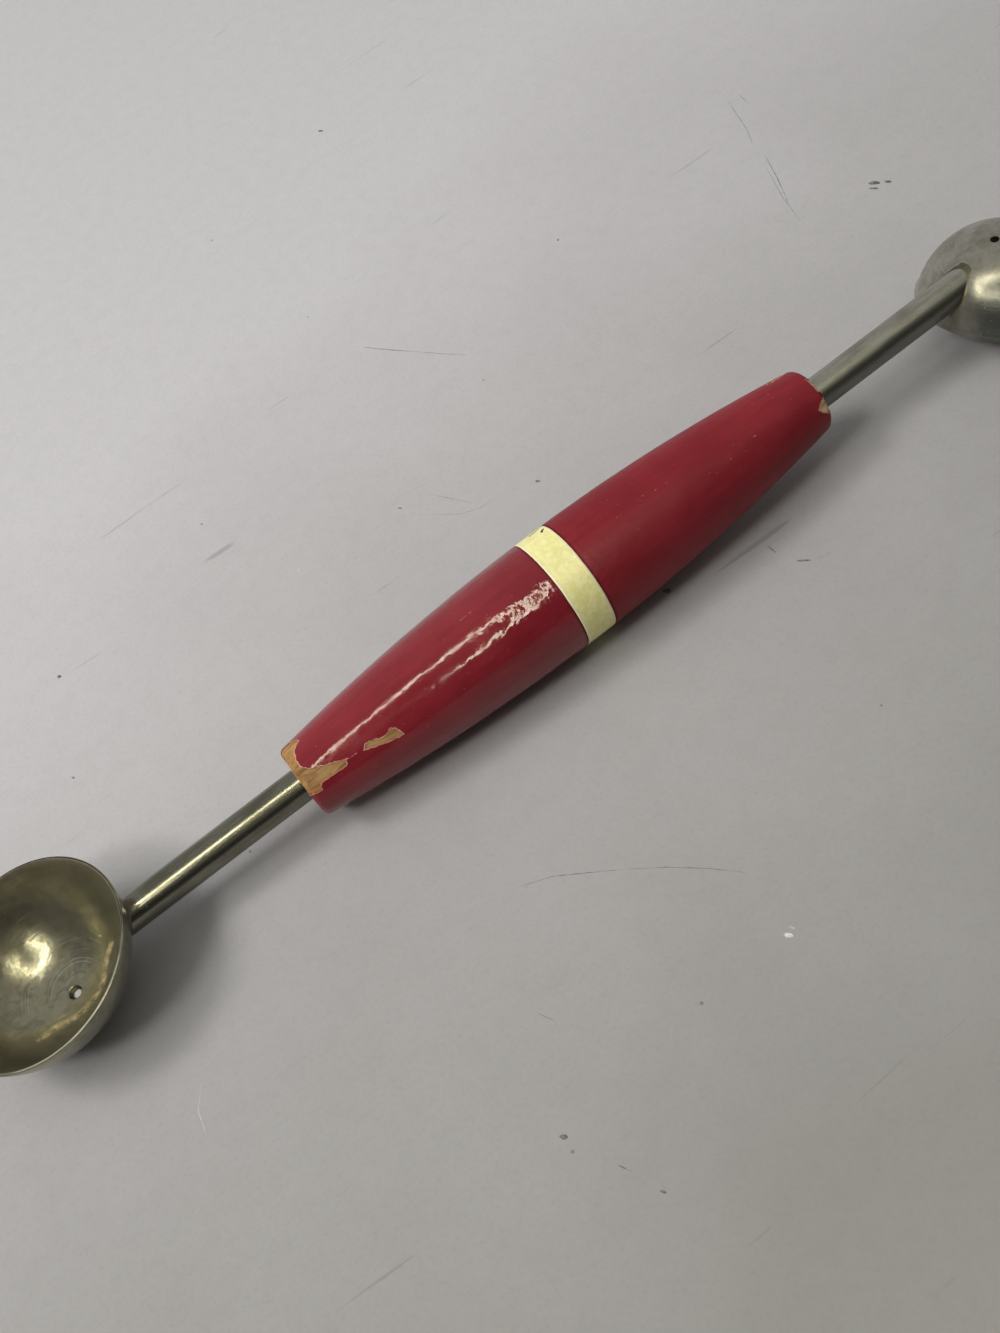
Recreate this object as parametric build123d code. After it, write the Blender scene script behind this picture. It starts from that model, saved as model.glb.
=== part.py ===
from build123d import *
import math
import os

# A double-ended melon baller: a painted hardwood handle with a round steel shank driven into each end,
# and a drawn metal scoop brazed to each shank. All lengths are in millimetres.
#
# The tool is described in its own frame: X runs along the handle's axis towards the small scoop, Z is
# the way the large scoop opens, and zero is the handle's middle. At the end it is laid down as it rests
# on a table, on the large scoop's bottom and the far side of the small scoop's rim.

# Handle
handle_length = 87.0
belly_diameter = 16.6
large_end_diameter = 10.5
small_end_diameter = 9.5
end_edge_radius = 0.9

# Paint on the handle
red_thickness = 0.15
cream_thickness = 0.12
band_width = 4.6
band_offset = 0.15

# Shanks, and their tangs inside the handle
shank_diameter = 4.76
tang_depth = 24.0
tang_point = 0.8
fin_length = 6.0
fin_span = 6.4
fin_thickness = 1.0
fin_setback = 6.0

# Scoops
large_rim_diameter = 28.6
large_ball_diameter = 29.2
large_depth = 11.7
large_reach = 40.5
large_offset = 5.15
large_lean = 5.0
large_vent_shift = 0.8
small_rim_diameter = 23.8
small_ball_diameter = 23.2
small_depth = 10.9
small_reach = 34.4
small_offset = 7.35
small_lean = -15.5
sheet_thickness = 0.6
rim_land = 0.4
lip_height = 0.8
vent_diameter = 1.9
braze_leg = 0.7

# Chips in the paint: length along the handle, turn round it in degrees and where the chip's middle is.
# Each outline point is a share of the chip's length from the handle's end, and a share of half its turn.
end_chip_length = 6.5
end_chip_half_turn = 50.0
end_chip_middle_turn = -12.0
end_chip_shares = [
    (0.27, 1.0),
    (0.48, 0.58),
    (0.25, 0.34),
    (0.18, 0.09),
    (0.18, -0.12),
    (0.33, -0.34),
    (0.59, -0.51),
    (1.0, -0.70),
    (0.78, -0.83),
    (0.31, -0.82),
    (0.25, -1.0),
]
side_chip_length = 5.1
side_chip_start = 9.1
side_chip_half_turn = 7.8
side_chip_middle_turn = -54.0
side_chip_shares = [
    (0.0, 0.40),
    (0.06, 0.97),
    (0.21, 0.97),
    (0.56, 0.19),
    (0.83, 0.74),
    (0.92, 0.18),
    (1.0, -1.0),
    (0.70, -0.83),
    (0.46, -0.51),
]
rim_chip_length = 1.3
rim_chip_half_turn = 9.5
rim_chip_middle_turn = -63.5
rim_chip_shares = [
    (1.0, 0.84),
    (0.93, -0.92),
    (0.10, -1.0),
]

# How far a cutting solid runs past what it cuts
overrun = 5.0

half_length = handle_length / 2
shank_radius = shank_diameter / 2


def belly_arc_radius(end_diameter):
    """Radius of the long arc that swells one half of the handle from its end to its middle."""
    swell = (belly_diameter - end_diameter) / 2
    return (half_length**2 + swell**2) / (2 * swell)


def half_barrel(side, end_diameter, inset):
    """One half of the turned handle, its surface lying inset below the painted surface."""
    arc_radius = belly_arc_radius(end_diameter)
    centre_drop = belly_diameter / 2 - arc_radius
    inner_radius = arc_radius - inset
    reach = half_length - inset
    top = centre_drop + inner_radius
    end_top = centre_drop + math.sqrt(inner_radius**2 - reach**2)
    middle = reach / 2
    middle_top = centre_drop + math.sqrt(inner_radius**2 - middle**2)
    with BuildPart() as barrel:
        with BuildSketch(Plane.XZ):
            with BuildLine():
                ThreePointArc((0, top), (side * middle, middle_top), (side * reach, end_top))
                Line((side * reach, end_top), (side * reach, 0))
                Line((side * reach, 0), (0, 0))
                Line((0, 0), (0, top))
            make_face()
        revolve(axis=Axis.X)
        end_edge = barrel.edges().filter_by(GeomType.CIRCLE).sort_by(Axis.X)[0 if side < 0 else -1]
        fillet(end_edge, end_edge_radius - inset)
    return barrel.part


def turned_barrel(inset):
    """The whole turned handle, its surface lying inset below the red paint."""
    return half_barrel(-1, large_end_diameter, inset) + half_barrel(1, small_end_diameter, inset)


def slab(start, end):
    """A block that holds everything between two places along the handle."""
    width = belly_diameter + 2 * overrun
    return Pos((start + end) / 2, 0, 0) * Box(end - start, width, width)


def surface_radius(x):
    """Radius of the painted surface at a place along the handle."""
    end_diameter = large_end_diameter if x < 0 else small_end_diameter
    arc_radius = belly_arc_radius(end_diameter)
    return belly_diameter / 2 - arc_radius + math.sqrt(arc_radius**2 - x**2)


def chip_cutter(outline, middle_turn):
    """A prism that points from the handle's axis through a chip. Each outline point is a place along
    the handle and a turn in degrees from the chip's middle."""
    flat_points = []
    for x, turn in outline:
        radius = surface_radius(max(-half_length, min(half_length, x)))
        flat_points.append((x, radius * math.sin(math.radians(turn))))
    turn = math.radians(middle_turn)
    outwards = (0, math.sin(turn), math.cos(turn))
    plane = Plane(origin=(0, 0, 0), x_dir=(1, 0, 0), z_dir=outwards)
    face = make_face(plane * Polyline(*flat_points, close=True))
    return extrude(face, amount=belly_diameter / 2 + overrun, dir=outwards)


def end_chip():
    """Bare wood along the large end's edge, widest at the front."""
    start = -half_length
    points = [
        (start + along * end_chip_length, around * end_chip_half_turn) for along, around in end_chip_shares
    ]
    first_turn = points[0][1]
    last_turn = points[-1][1]
    points = [(start - overrun, first_turn), *points, (start - overrun, last_turn)]
    return chip_cutter(points, end_chip_middle_turn)


def side_chip():
    """A smaller chip on the front of the large half, clear of the end."""
    start = side_chip_start - half_length
    points = [
        (start + along * side_chip_length, around * side_chip_half_turn) for along, around in side_chip_shares
    ]
    return chip_cutter(points, side_chip_middle_turn)


def rim_chip():
    """A small notch out of the paint at the small end's edge."""
    points = [
        (half_length - along * rim_chip_length, around * rim_chip_half_turn)
        for along, around in rim_chip_shares
    ]
    first_turn = points[0][1]
    last_turn = points[-1][1]
    points = [(half_length + overrun, first_turn), *points, (half_length + overrun, last_turn)]
    return chip_cutter(points, rim_chip_middle_turn)


class Scoop:
    """A drawn bowl on the end of a shank. side is -1 or 1 along X and opening is -1 or 1 along Z. reach
    runs from the handle's end to the rim's middle, offset from the handle's axis to the rim's middle,
    lean tips the rim so that the bowl looks away from the handle, and vent_shift is how far the vent
    hole lies from the bowl's middle towards the handle."""

    def __init__(self, side, opening, rim_diameter, ball_diameter, depth, reach, offset, lean, vent_shift):
        self.side = side
        self.opening = opening
        self.rim_radius = rim_diameter / 2
        self.ball_radius = ball_diameter / 2
        self.ball_height = self.ball_radius - depth
        tip = math.radians(lean)
        self.axis = Vector(side * math.sin(tip), 0, opening * math.cos(tip))
        self.outwards = Vector(side * math.cos(tip), 0, -opening * math.sin(tip))
        self.rim_centre = Vector(side * (half_length + reach), 0, opening * offset)
        self.ball_centre = self.rim_centre + self.axis * self.ball_height
        self.vent_shift = vent_shift

    def ball(self):
        """The full ball whose lower part is the bowl's outside."""
        return Pos(self.ball_centre) * Sphere(self.ball_radius)

    def bowl(self):
        """The bowl: a spherical sheet with a short straight lip, ground flat at the rim, and a vent
        hole square to the shank."""
        outer = self.ball_radius
        inner = outer - sheet_thickness
        centre = self.ball_height
        lip_foot = centre + lip_height
        outer_foot = math.sqrt(outer**2 - lip_foot**2)
        inner_foot = math.sqrt(inner**2 - lip_foot**2)
        diagonal_share = math.sqrt(0.5)
        with BuildPart() as shell:
            with BuildSketch(Plane.XZ):
                with BuildLine():
                    Line((0, centre - inner), (0, centre - outer))
                    ThreePointArc(
                        (0, centre - outer),
                        (outer * diagonal_share, centre - outer * diagonal_share),
                        (outer_foot, -lip_height),
                    )
                    Line((outer_foot, -lip_height), (self.rim_radius, 0))
                    Line((self.rim_radius, 0), (self.rim_radius - rim_land, 0))
                    Line((self.rim_radius - rim_land, 0), (inner_foot, -lip_height))
                    ThreePointArc(
                        (inner_foot, -lip_height),
                        (inner * diagonal_share, centre - inner * diagonal_share),
                        (0, centre - inner),
                    )
                make_face()
            revolve(axis=Axis.Z)
        placed = Plane(origin=self.rim_centre, x_dir=self.outwards, z_dir=self.axis) * shell.part
        drill_length = self.ball_radius + overrun
        drill_middle = self.ball_centre - Vector(
            self.side * self.vent_shift, 0, self.opening * drill_length / 2
        )
        return placed - Pos(drill_middle) * Cylinder(vent_diameter / 2, drill_length)

    def rod(self):
        """The shank's round bar from the end of its tang to the middle of the ball."""
        start = self.side * (half_length - tang_depth)
        length = abs(self.ball_centre.X - start)
        middle = Pos((start + self.ball_centre.X) / 2, 0, 0)
        return middle * Rot(0, 90, 0) * Cylinder(shank_radius, length)

    def fins(self):
        """Two fins swaged across the tang, which hold it in the wood."""
        middle = half_length - tang_depth + fin_setback + fin_length / 2
        return Pos(self.side * middle, 0, 0) * Box(fin_length, fin_span, fin_thickness)

    def shank(self):
        """The rod with its finned tang inside the handle and its other end cut to sit on the bowl."""
        rod = self.rod()
        ends = rod.edges().filter_by(GeomType.CIRCLE).sort_by(Axis.X)
        rod = chamfer(ends[-1] if self.side < 0 else ends[0], tang_point)
        return rod + self.fins() - self.ball()

    def braze(self):
        """The bead of filler in the corner where the shank meets the bowl's outside."""
        joined = self.ball() + self.rod()
        seam = [
            edge
            for edge in joined.edges()
            if edge.geom_type not in (GeomType.CIRCLE, GeomType.LINE)
        ]
        return chamfer(seam, braze_leg) - self.ball() - self.rod()

    def far_rim(self):
        """The rim's point farthest from the handle."""
        return self.rim_centre + self.outwards * self.rim_radius


def rest_turn(standing, capping):
    """Turn in degrees about Y that brings the bottom of the scoop that stands on the table level with
    the far rim of the scoop that is turned over on it."""
    step = capping.far_rim() - standing.ball_centre
    span = math.hypot(step.X, step.Z)
    return math.degrees(math.atan2(step.Z, step.X) + math.asin(standing.ball_radius / span))


large = Scoop(
    side=-1,
    opening=1,
    rim_diameter=large_rim_diameter,
    ball_diameter=large_ball_diameter,
    depth=large_depth,
    reach=large_reach,
    offset=large_offset,
    lean=large_lean,
    vent_shift=large_vent_shift,
)
small = Scoop(
    side=1,
    opening=-1,
    rim_diameter=small_rim_diameter,
    ball_diameter=small_ball_diameter,
    depth=small_depth,
    reach=small_reach,
    offset=small_offset,
    lean=small_lean,
    vent_shift=0,
)

core = turned_barrel(red_thickness)
large_shank = large.shank()
small_shank = small.shank()

painted = turned_barrel(0)
shank_bore = Rot(0, 90, 0) * Cylinder(shank_radius, handle_length + overrun)
coat = painted - core - shank_bore
band_start = band_offset - band_width / 2
band_end = band_offset + band_width / 2
past_end = half_length + overrun

pieces = {
    "wooden_handle": core - large_shank - small_shank,
    "red_paint_large_end": (coat & slab(-past_end, band_start)) - end_chip() - side_chip(),
    "red_paint_small_end": (coat & slab(band_end, past_end)) - rim_chip(),
    "cream_band": (turned_barrel(red_thickness - cream_thickness) - core) & slab(band_start, band_end),
    "large_shank": large_shank,
    "small_shank": small_shank,
    "large_scoop": large.bowl(),
    "small_scoop": small.bowl(),
    "large_braze": large.braze(),
    "small_braze": small.braze(),
}

# Lay the tool down: level its two resting points, then put the middle of its footprint at the origin
turn = rest_turn(large, small)
laid = {name: Rot(0, turn, 0) * shape for name, shape in pieces.items()}
box = Compound(list(laid.values())).bounding_box()
settle = Pos(-(box.min.X + box.max.X) / 2, -(box.min.Y + box.max.Y) / 2, -box.min.Z)

os.makedirs("parts", exist_ok=True)
for name, shape in laid.items():
    export_step(settle * shape, f"parts/{name}.step")
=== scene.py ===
import math
from bisect import bisect_right

import bpy
from bpy.props import FloatProperty, FloatVectorProperty, PointerProperty
from bpy.types import Operator, Panel, PropertyGroup
from mathutils import Matrix, Vector, noise
from mathutils.geometry import delaunay_2d_cdt
from mathutils.kdtree import KDTree


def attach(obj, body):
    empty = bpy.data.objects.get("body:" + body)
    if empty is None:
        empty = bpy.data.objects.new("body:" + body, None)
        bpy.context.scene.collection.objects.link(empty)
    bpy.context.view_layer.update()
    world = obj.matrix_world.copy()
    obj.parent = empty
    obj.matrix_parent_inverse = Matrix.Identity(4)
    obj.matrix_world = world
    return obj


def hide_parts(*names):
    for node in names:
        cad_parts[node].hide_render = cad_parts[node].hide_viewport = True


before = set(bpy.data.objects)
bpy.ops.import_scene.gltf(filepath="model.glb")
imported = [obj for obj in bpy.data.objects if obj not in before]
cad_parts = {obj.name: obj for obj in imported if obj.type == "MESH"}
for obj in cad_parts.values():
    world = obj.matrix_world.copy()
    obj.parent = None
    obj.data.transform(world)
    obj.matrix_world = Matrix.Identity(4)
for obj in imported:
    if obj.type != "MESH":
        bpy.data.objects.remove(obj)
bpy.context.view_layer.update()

bl_info = {
    "name": "Double-ended Melon Baller",
    "version": (1, 0, 0),
    "blender": (4, 5, 0),
    "location": "3D View > Sidebar > Melon Baller",
    "description": "Dresses the melon baller: chipped enamel on wood, tarnished bowls and a stage",
    "category": "Add Mesh",
}

MM = 0.001
FULL_TURN = 2 * math.pi
SHARP_EDGE = math.radians(35)

# Stands for the distance to a line that isn't there, in millimetres.
FAR_AWAY = 9.0

# Rows of points between a bowl's bottom and its lip.
BALL_ROWS = 74


def length(name, description, millimetres):
    """A property that holds a length."""
    return FloatProperty(
        name=name, description=description, default=millimetres * MM, unit="LENGTH", precision=5
    )


def angle(name, description, degrees):
    """A property that holds an angle."""
    return FloatProperty(
        name=name, description=description, default=math.radians(degrees), unit="ROTATION"
    )


def place(name, description, millimetres):
    """A property that holds a point."""
    return FloatVectorProperty(
        name=name,
        description=description,
        default=[value * MM for value in millimetres],
        subtype="TRANSLATION",
        unit="LENGTH",
    )


def colour(name, description, value):
    """A property that holds a linear colour."""
    return FloatVectorProperty(
        name=name, description=description, default=value, subtype="COLOR", min=0, max=1
    )


def amount(name, description, value):
    """A property that holds a plain number."""
    return FloatProperty(name=name, description=description, default=value, min=0)


class HandleSettings(PropertyGroup):
    handle_length: length("Length", "Length of the wooden handle", 87.0)
    belly_diameter: length("Belly", "Diameter of the painted handle at its middle", 16.6)
    large_end_diameter: length("Large End", "Diameter at the large scoop's end", 10.5)
    small_end_diameter: length("Small End", "Diameter at the small scoop's end", 9.5)
    end_edge_radius: length("End Edge", "Radius of the rounded edge at each end", 0.9)
    film_thickness: length("Paint", "Thickness of the red enamel", 0.15)
    cream_drop: length("Cream Drop", "How far the cream band lies below the red paint", 0.03)
    band_width: length("Band", "Width of the cream band", 4.6)
    band_offset: length("Band Offset", "Place of the band's middle along the handle", 0.15)
    red: colour("Red", "Red enamel", (0.245, 0.019, 0.027))
    red_deep: colour("Deep Red", "Red enamel where it is thick", (0.195, 0.012, 0.019))
    # Painted shade in the groove where the red coats meet the band.
    red_edge_shade: colour("Red Edge", "Dark line where the red coats meet the band", (0.085, 0.007, 0.010))
    chalk: colour("Chipped Edge", "Pale edge of the broken enamel", (0.66, 0.33, 0.25))
    cream: colour("Cream", "Cream enamel", (0.84, 0.78, 0.30))
    cream_pale: colour("Pale Cream", "Cream enamel where it is thin", (0.93, 0.88, 0.43))
    # Painted highlight along the band's raised edges.
    cream_edge_highlight: colour("Cream Edge", "Raised edge of the band", (0.96, 0.86, 0.72))
    soil: colour("Strokes", "Black strokes on the band", (0.03, 0.025, 0.015))
    wood: colour("Wood", "Bare hardwood", (0.40, 0.195, 0.056))
    wood_dark: colour("Dark Grain", "Dark lines of the grain", (0.17, 0.08, 0.022))
    wood_pale: colour("Pale Grain", "Paler patches of the wood", (0.43, 0.26, 0.092))
    # Painted light: a paler copy of the wood for the bared wood at the small end, standing for light
    # falling there.
    lit_rim_wood: colour("Rim Wood", "Pale wood bared at the small end", (0.66, 0.47, 0.24))
    pore: colour("Pores", "Pores of the wood", (0.07, 0.035, 0.012))
    end_dirt: colour("End Dirt", "Dirt on the wood at the large end", (0.06, 0.03, 0.011))


class ShankSettings(PropertyGroup):
    shank_diameter: length("Diameter", "Diameter of both shanks", 4.76)
    large_steel: colour("Large Shank", "Drawn steel of the large shank", (0.29, 0.28, 0.22))
    large_dark: colour("Large Shank Tarnish", "Its tarnished patches", (0.16, 0.153, 0.113))
    small_steel: colour("Small Shank", "Drawn steel of the small shank", (0.48, 0.465, 0.40))
    small_dark: colour("Small Shank Tarnish", "Its tarnished patches", (0.28, 0.27, 0.225))
    # Painted shade: how dark each shank's near side is painted, and the colour it is darkened towards.
    small_flank_shade: amount("Small Shank Flank", "How dark the small shank's near flank has gone", 0.75)
    large_flank_shade: amount("Large Shank Flank", "How dark the large shank's near flank has gone", 0.4)
    flank_shade: colour("Flank", "Oxide on the shanks' near flanks", (0.10, 0.10, 0.092))
    pit: colour("Pits", "Small pits in the steel", (0.07, 0.06, 0.04))
    brass: colour("Brass", "Filler metal", (0.17, 0.125, 0.05))
    brass_dark: colour("Dark Brass", "Tarnished filler", (0.15, 0.14, 0.105))


class LargeScoopSettings(PropertyGroup):
    rim_diameter: length("Rim", "Diameter of the rim", 28.6)
    ball_diameter: length("Ball", "Diameter of the ball that the bowl is part of", 29.2)
    depth: length("Depth", "Depth of the bowl outside", 11.7)
    reach: length("Reach", "From the handle's end to the rim's middle", 40.5)
    offset: length("Offset", "From the handle's axis to the rim's middle", 5.15)
    lean: angle("Lean", "How far the rim tips away from the handle", 5.0)
    vent_shift: length("Vent Shift", "How far the vent lies towards the handle", 0.8)
    bead: length("Bead", "Width of the brazed bead on shank and bowl", 0.6)
    swell: length("Swell", "How far the skin stands up round the brazed joint", 0.0)
    metal: colour("Metal", "Plated sheet", (0.32, 0.305, 0.215))
    tarnish: colour("Tarnish", "Olive tarnish", (0.195, 0.182, 0.124))
    # Painted shade: how dark the near side of the bowl's outside is painted.
    shade: amount("Shade", "How dark the near side of the outside has gone", 0.0)


class SmallScoopSettings(PropertyGroup):
    rim_diameter: length("Rim", "Diameter of the rim", 23.8)
    ball_diameter: length("Ball", "Diameter of the ball that the bowl is part of", 23.2)
    depth: length("Depth", "Depth of the bowl outside", 10.9)
    reach: length("Reach", "From the handle's end to the rim's middle", 34.4)
    offset: length("Offset", "From the handle's axis to the rim's middle", 7.35)
    lean: angle("Lean", "How far the rim tips away from the handle", -15.5)
    vent_shift: length("Vent Shift", "How far the vent lies towards the handle", 0.0)
    bead: length("Bead", "Width of the brazed bead on shank and bowl", 0.36)
    swell: length("Swell", "How far the skin stands up round the brazed joint", 0.42)
    metal: colour("Metal", "Plated sheet", (0.38, 0.362, 0.305))
    tarnish: colour("Tarnish", "Grey tarnish", (0.23, 0.22, 0.185))
    # Painted shade: how dark the near side of the bowl's outside is painted.
    shade: amount("Shade", "How dark the near side of the outside has gone", 0.85)


class SheetSettings(PropertyGroup):
    thickness: length("Sheet", "Thickness of the bowls' sheet", 0.6)
    lip_height: length("Lip", "Height of the straight lip under the rim", 0.8)
    rim_land: length("Rim Land", "Width of the rim's flat", 0.4)
    vent_diameter: length("Vent", "Diameter of the vent holes", 1.9)
    brown: colour("Brown", "Brown tarnish near the rim", (0.26, 0.225, 0.145))
    # Dark oxide for the blotches inside, and painted shade on the near side of the outside.
    oxide_and_shade: colour("Dusk", "Dark oxide, in a shade outside and blotches inside", (0.075, 0.082, 0.077))
    bright: colour("Worn", "Metal worn bright", (0.66, 0.63, 0.50))
    # Painted reflection: a golden streak inside the large bowl stands for a reflection of light.
    reflection_gold: colour("Burnish", "Golden streak rubbed into the large bowl", (0.43, 0.335, 0.155))
    # Grime and painted shade: a dark ring at the vent, partly grime and partly painted shade, and painted
    # shade under the rim's unlit side.
    grime_and_shade: colour("Grime", "Black grime at the vent and under the rim", (0.03, 0.026, 0.022))


class StageSettings(PropertyGroup):
    camera_place: place("Camera", "Where the camera stands", (-35.118, -120.625, 156.013))
    camera_aim: place("Aim", "The point on the table that the camera looks at", (-7.932, 2.055, 0.0))
    camera_roll: angle("Roll", "Turn of the camera about its line of sight", 26.702)
    lens: amount("Lens", "Focal length in mm for a picture 36 mm high", 38.93)
    lamp_place: place("Ring Lamp", "Middle of the ring lamp", (-73.0, -240.0, 510.0))
    lamp_radius: length("Ring Radius", "Radius of the ring lamp", 160.0)
    lamp_glow: amount("Ring Glow", "Radiance of the ring lamp", 19.0)
    key_glow: amount("Key Glow", "Radiance of the soft light that casts the near shadow", 26.0)
    middle_glow: amount("Middle Glow", "Radiance of the soft light behind it", 9.0)
    far_glow: amount("Far Glow", "Radiance of the softer light that casts the far shadow", 16.0)
    window_glow: amount("Window Glow", "Radiance of the broad light behind the soft one", 0.55)
    ceiling_glow: amount("Ceiling Glow", "Radiance of the broad light overhead", 0.15)
    room_glow: amount("Room Glow", "Radiance of the room", 1.0)
    table_size: length("Table Size", "Length of the table's sides", 3200.0)
    # Painted light falloff: the table runs from this pale far colour to a painted shade on the near side.
    table: colour("Table", "Pale table top on the far side", (0.575, 0.56, 0.57))
    shaded_near_table: colour("Near Table", "Table top on the near side", (0.264, 0.255, 0.239))
    mark: colour("Table Marks", "Specks and scratches", (0.09, 0.083, 0.075))
    pale_mark: colour("Pale Marks", "Pale specks on the table", (0.85, 0.85, 0.83))
    card: colour("Card", "Dark card beside the lens", (0.012, 0.012, 0.014))


# Chips in the paint: places along the handle in millimetres from its middle, and turns round it in
# degrees from its top towards its far side.
END_CHIP = [
    (-44.6, 41.0), (-41.75, 36.6), (-40.39, 17.2), (-41.34, 12.6), (-41.89, 4.9), (-42.29, -7.7),
    (-42.33, -17.8), (-41.79, -25.1), (-41.37, -29.0), (-39.66, -37.4), (-38.19, -42.9),
    (-36.97, -47.0), (-37.67, -54.2), (-38.40, -53.6), (-41.47, -53.0), (-41.84, -62.1),
    (-44.6, -58.5),
]
SIDE_CHIP = [
    (-34.39, -50.9), (-34.08, -46.4), (-33.33, -46.4), (-31.54, -52.5), (-30.16, -48.2),
    (-29.70, -52.6), (-29.25, -61.8), (-30.79, -60.5), (-32.06, -58.0),
]
RIM_CHIP = [
    (41.6, -62.0), (42.3, -55.5), (43.1, -50.5), (44.1, -49.5), (44.1, -75.0), (43.2, -81.0),
    (42.3, -72.5),
]
RIM_WEAR = [(42.9, -8.0), (43.05, -22.0), (43.0, -38.0), (43.8, -40.0), (43.8, -24.0), (43.8, -9.0)]
FLAKE = [
    (38.9, 30.0), (39.8, 37.0), (41.0, 45.0), (42.4, 52.0), (42.6, 40.0), (41.6, 34.0), (40.0, 28.5),
]
CRACK = [(-36.97, -47.0), (-36.2, -48.6), (-35.3, -49.2), (-34.39, -50.9)]
LARGE_END_NICKS = [[(-14.7, -4.0), (-12.4, -4.2)], [(-3.3, -25.0), (-3.1, -25.4)]]
SMALL_END_NICKS = [
    [(26.3, -40.4), (27.2, -39.2)], [(29.4, -36.5), (30.1, -35.5)], [(31.1, -35.4), (32.0, -34.6)],
    [(39.2, -23.4), (39.4, -23.2)], [(3.2, -30.0), (3.3, -30.4)], [(36.0, -4.6), (36.1, -4.4)],
    [(13.2, -22.0), (13.5, -23.0)], [(15.6, -18.4), (16.3, -18.0)], [(11.0, -40.0), (11.2, -40.3)],
]

# Torn wood under the chips: each patch's name, the half that it lies on, its reach along the handle and
# its turns in the same measures, and the seed of its grain.
TORN_WOOD = [
    ("torn_wood_large_end", -1, (-36.0, -44.3), (-66.0, 44.0), 3.0),
    ("torn_wood_side", -1, (-28.4, -35.2), (-66.0, -42.0), 5.0),
    ("torn_wood_small_end", 1, (41.6, 44.3), (-78.0, -10.0), 8.0),
    ("torn_wood_flake", 1, (38.2, 43.0), (24.0, 54.0), 12.0),
]

# Black strokes on the cream band, in the same measures.
BAND_STROKES = [
    [(1.45, 24.5), (1.55, 26.5), (1.85, 28.5)], [(0.6, 38.0), (1.6, 39.5), (2.3, 40.5)],
    [(0.1, 36.0), (0.2, 36.8)],
]

# A painted golden reflection streak in the large bowl: shares of the way from its bottom to its rim, and
# turns from its far side towards the tool's own far side.
PAINTED_REFLECTION_STREAK = [
    (0.42, 176.0), (0.338, 177.7), (0.27, -172.0), (0.23, -150.2), (0.195, -130.0), (0.183, -110.4),
    (0.187, -90.0), (0.197, -70.8), (0.235, -50.0), (0.285, -36.9), (0.34, -34.0), (0.40, -31.0),
]

# Marks on the table: the width of each and the points that it runs through, in millimetres.
TABLE_MARKS = [
    (0.9, [(91.2, 37.2), (91.9, 36.4), (92.3, 35.7)]), (0.5, [(93.0, 35.4), (93.6, 34.4)]),
    (0.5, [(90.4, 36.2), (91.3, 34.9)]), (0.10, [(92.4, 75.2), (88.9, 65.4), (86.6, 61.0)]),
    (0.14, [(86.2, 57.4), (83.3, 50.6), (80.2, 44.1)]), (0.10, [(84.1, 54.5), (80.6, 46.0), (78.6, 39.5)]),
    (0.07, [(94.6, 74.8), (93.8, 70.4)]), (0.16, [(12.2, 76.3), (15.0, 71.7), (18.2, 67.0)]),
    (0.10, [(18.2, 67.0), (21.0, 62.7), (23.6, 59.2)]), (0.5, [(39.0, 140.8), (39.6, 139.6)]),
    (0.9, [(16.1, -4.2), (16.9, -5.2)]), (0.35, [(32.1, -13.8), (33.5, -15.1)]),
    (0.16, [(31.1, -8.9), (31.1, -10.7)]), (0.07, [(34.3, -15.6), (36.3, -16.1)]),
    (0.09, [(-24.9, -27.9), (-20.9, -29.6), (-16.8, -32.6), (-13.4, -35.1)]),
    (0.08, [(-13.4, -35.1), (-9.4, -38.4), (-5.8, -41.9), (-2.8, -45.4)]),
    (0.5, [(-38.9, -56.4), (-38.2, -57.1)]), (0.4, [(-33.6, -68.1), (-33.2, -68.7)]),
    (0.12, [(-35.6, -63.0), (-34.8, -64.6)]), (0.10, [(-32.6, -43.0), (-31.6, -45.0)]),
    (0.4, [(15.4, 26.8), (15.9, 26.1)]),
    (0.3, [(-2.9, 39.2), (-2.4, 38.6)]), (0.06, [(-0.7, 34.8), (3.4, 30.4), (5.8, 29.1), (8.9, 28.6)]),
    (0.06, [(2.3, 37.6), (5.9, 31.0)]), (0.3, [(50.6, 70.3), (50.2, 69.8)]),
    (0.3, [(-66.0, 33.0), (-65.7, 32.4)]), (0.5, [(-60.4, 52.6), (-60.0, 51.9)]),
]
PALE_MARKS = [
    (0.5, [(-4.7, -54.3), (-4.0, -55.2)]), (0.25, [(-3.6, -53.9), (-3.3, -54.6)]),
    (0.08, [(-70.1, -22.0), (-72.3, -25.4), (-72.9, -29.8)]), (0.3, [(-21.0, 41.0), (-20.6, 40.4)]),
]


def smooth_step(low, high, value):
    """0 below low, 1 above high, and an even curve between them."""
    share = min(1.0, max(0.0, (value - low) / (high - low)))
    return share * share * (3 - 2 * share)


def fade(low, high, value):
    """1 below low, 0 above high, and an even curve between them."""
    return 1 - smooth_step(low, high, value)


def ripple(point, size, seed, octaves=3):
    """Even, repeatable unevenness between about -1 and 1 whose lumps are about size across."""
    return noise.fractal(point / size + Vector((seed, seed * 0.7, -seed)), 1.0, 2.0, octaves)


def between(rows, keys, value):
    """The row that lies where the keys, which only grow, would have this value."""
    index = min(len(rows) - 2, max(0, bisect_right(keys, value) - 1))
    share = (value - keys[index]) / (keys[index + 1] - keys[index])
    return [a + (b - a) * share for a, b in zip(rows[index], rows[index + 1])]


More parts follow.
